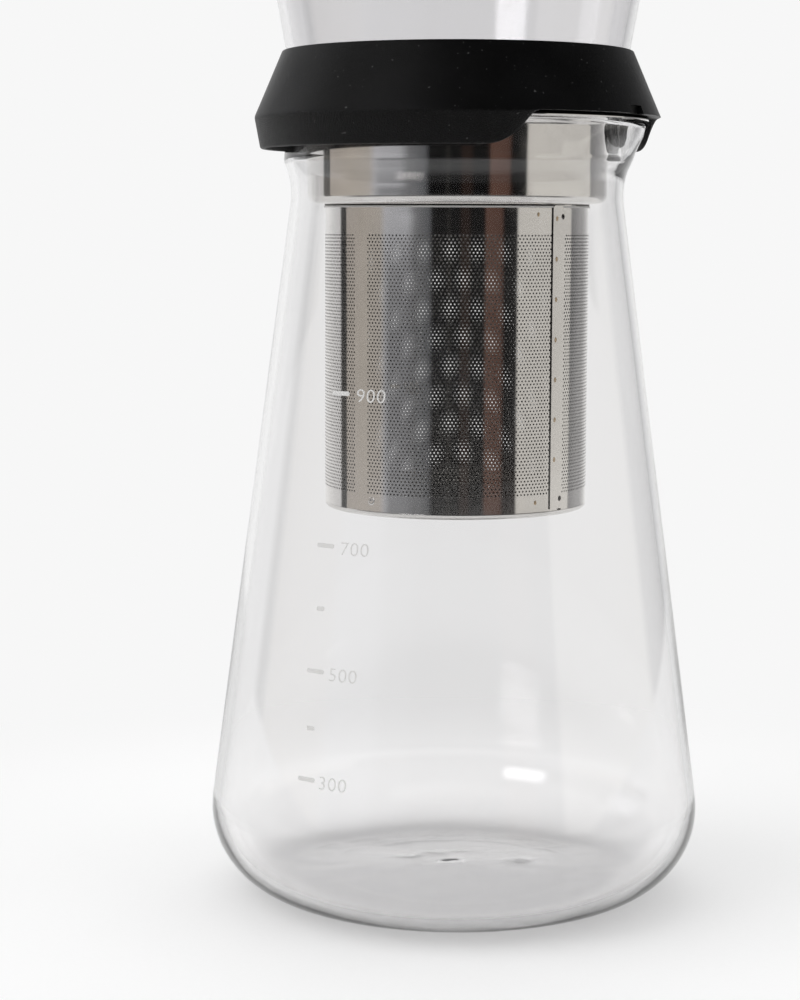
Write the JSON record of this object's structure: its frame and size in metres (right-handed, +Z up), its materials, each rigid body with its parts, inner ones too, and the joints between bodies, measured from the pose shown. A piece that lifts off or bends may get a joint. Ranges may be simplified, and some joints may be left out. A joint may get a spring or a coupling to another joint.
{
  "type": "cold drip coffee tower",
  "caption": "Hourglass cold drip coffee tower: a glass jug with a pouring lip, a hanging perforated steel basket, a moulded collar, and a lidded glass water bowl with a drip nozzle.",
  "frame": {"origin": "on the floor at the centre of the decanter's foot", "axes": "+Z up through the decanter, strainer, collar and bowl; +X towards the pouring lip"},
  "size_m": [0.118, 0.118, 0.2965],
  "materials": {
    "clear_glass": "clear blown heatproof glass",
    "steel": "bright drawn and perforated stainless sheet",
    "black_plastic": "satin moulded black plastic",
    "silicone": "milky silicone"
  },
  "bodies": {
    "decanter": {"decanter": "clear_glass"},
    "strainer": {"strainer_rim": "steel", "strainer_sleeve": "steel", "strainer_base": "steel"},
    "collar": {"collar": "black_plastic"},
    "bowl": {"bowl": "clear_glass", "nozzle_seal": "silicone", "drip_nozzle": "black_plastic"},
    "lid": {"lid": "black_plastic"}
  },
  "joints": [
    {"name": "strainer_lift", "type": "slide", "parent": "decanter", "child": "strainer", "axis": [0, 0, 1], "range_m": [0, 0.092]},
    {"name": "collar_lift", "type": "slide", "parent": "strainer", "child": "collar", "axis": [0, 0, 1], "range_m": [0, 0.02]},
    {"name": "bowl_lift", "type": "slide", "parent": "collar", "child": "bowl", "axis": [0, 0, 1], "range_m": [0, 0.034]},
    {"name": "lid_lift", "type": "slide", "parent": "bowl", "child": "lid", "axis": [0, 0, 1], "range_m": [0, 0.02]}
  ]
}
